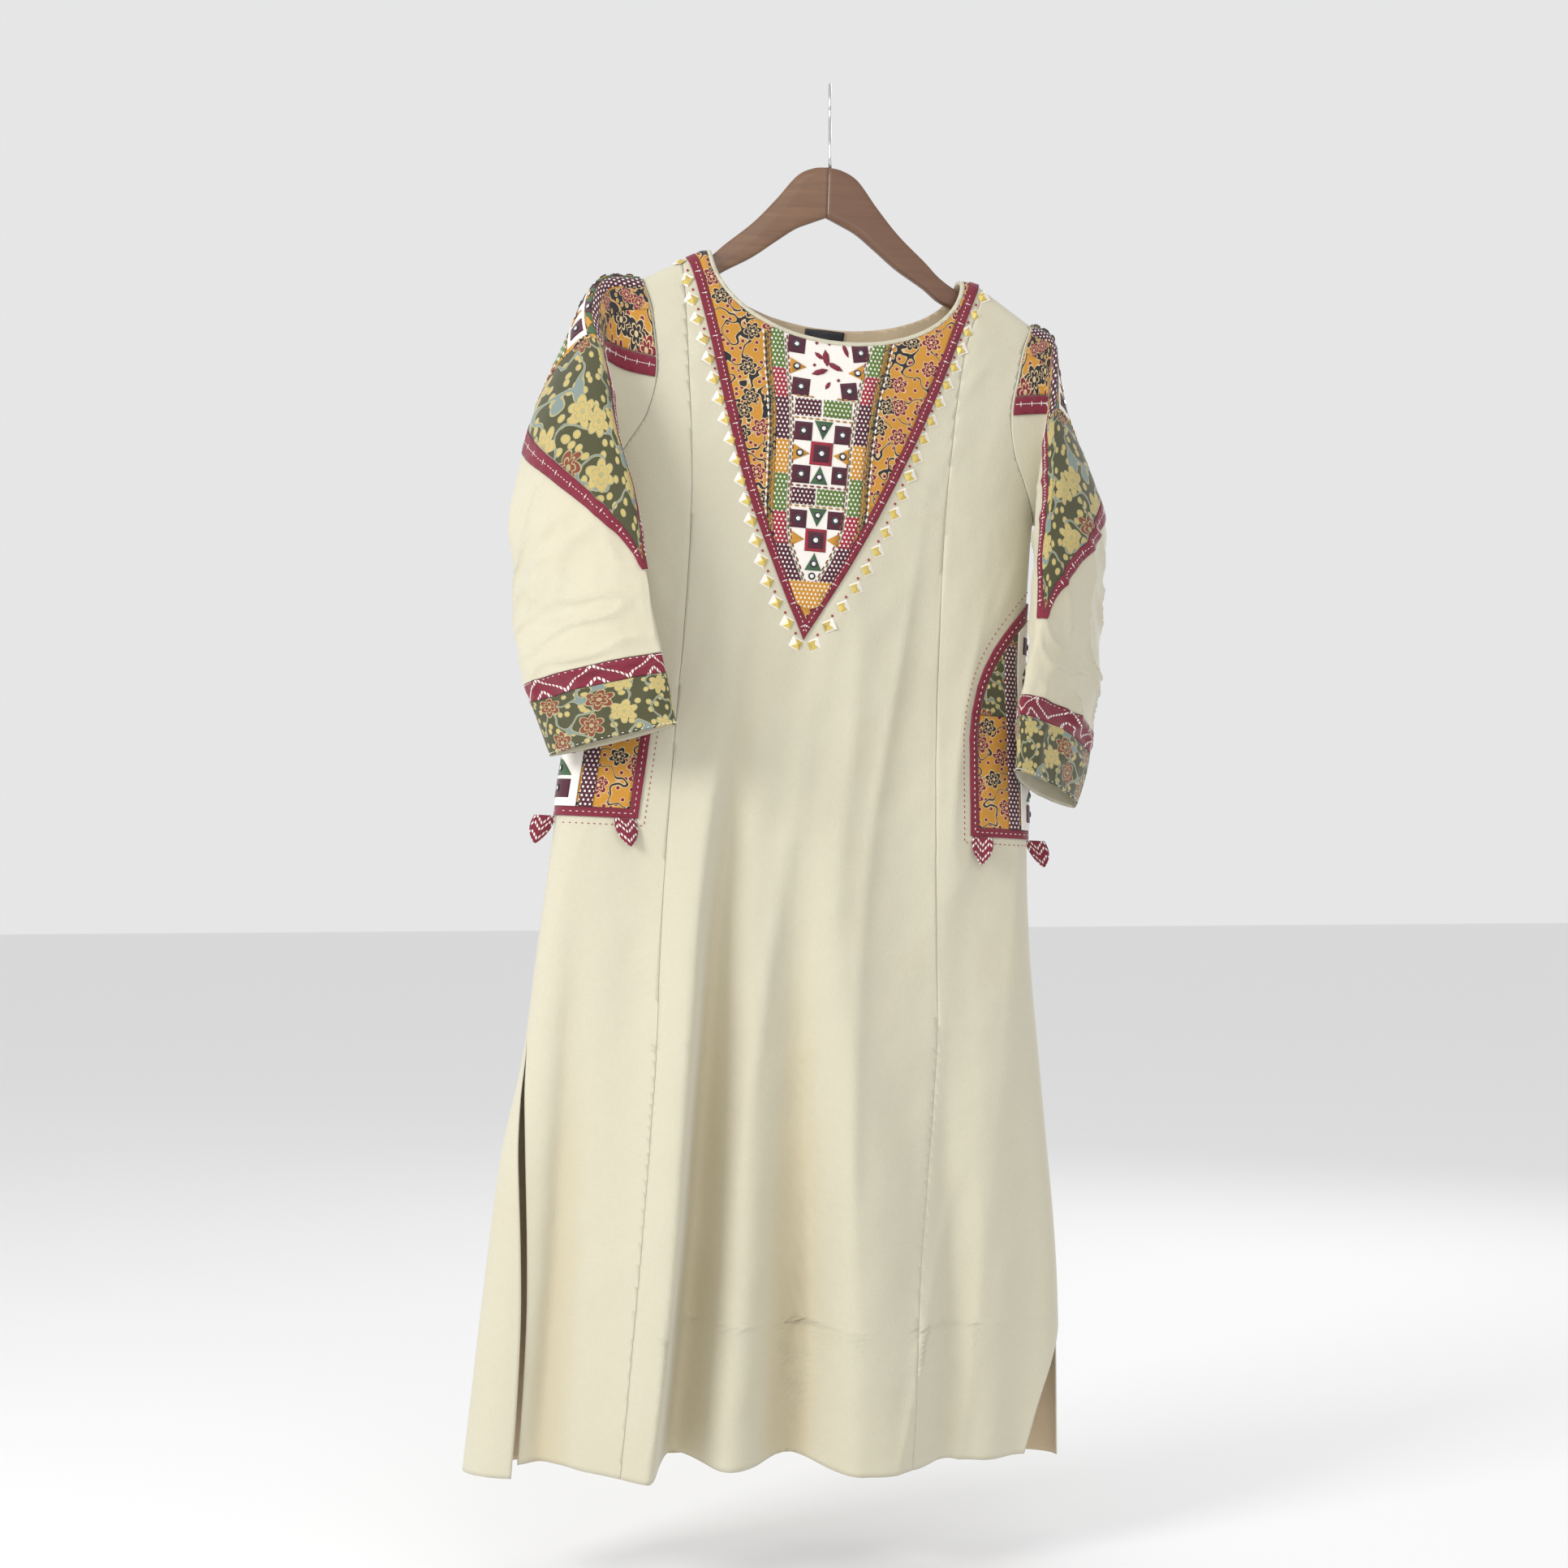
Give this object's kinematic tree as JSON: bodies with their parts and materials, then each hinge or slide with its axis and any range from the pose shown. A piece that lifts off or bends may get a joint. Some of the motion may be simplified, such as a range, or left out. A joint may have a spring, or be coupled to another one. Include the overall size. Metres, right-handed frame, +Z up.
{
  "type": "salwar suit kurta on a coat hanger",
  "caption": "Long cotton kurta, the tunic of a salwar suit, with a patchwork V yoke, shoulder and pocket patches and printed cuffs, hanging on a wooden coat hanger",
  "frame": {"origin": "inside of the hook's top, where a rail carries the hanger", "axes": "+Z up, the garment's front faces -Y, +X is to the viewer's right"},
  "size_m": [0.6286, 0.1823, 1.3307],
  "materials": {
    "cream": "matt cream cotton",
    "maroon": "matt maroon cotton",
    "olive": "matt printed olive cotton",
    "patchwork": "matt patchwork of printed cottons with mirror work",
    "black": "satin-woven label, blank",
    "wood": "varnished walnut brown",
    "steel": "plated steel wire"
  },
  "bodies": {
    "root": {"front_centre": "cream", "front_side_left": "cream", "front_side_right": "cream", "back": "cream", "sleeve_left": "cream", "sleeve_right": "cream", "neck_binding_front": "cream", "neck_binding_back": "cream", "cuff_strip_left": "maroon", "cuff_strip_right": "maroon", "shoulder_piping_left": "maroon", "shoulder_piping_right": "maroon", "yoke_piping": "maroon", "pocket_piping_left": "maroon", "pocket_piping_right": "maroon", "pocket_ear_front_left": "maroon", "pocket_ear_front_right": "maroon", "pocket_ear_side_left": "maroon", "pocket_ear_side_right": "maroon", "cuff_band_left": "olive", "cuff_band_right": "olive", "yoke_patch": "patchwork", "shoulder_patch_left": "patchwork", "shoulder_patch_right": "patchwork", "pocket_patch_left": "patchwork", "pocket_patch_right": "patchwork", "neck_label": "black", "hanger_arm_left": "wood", "hanger_arm_right": "wood", "hook": "steel"}
  },
  "joints": []
}
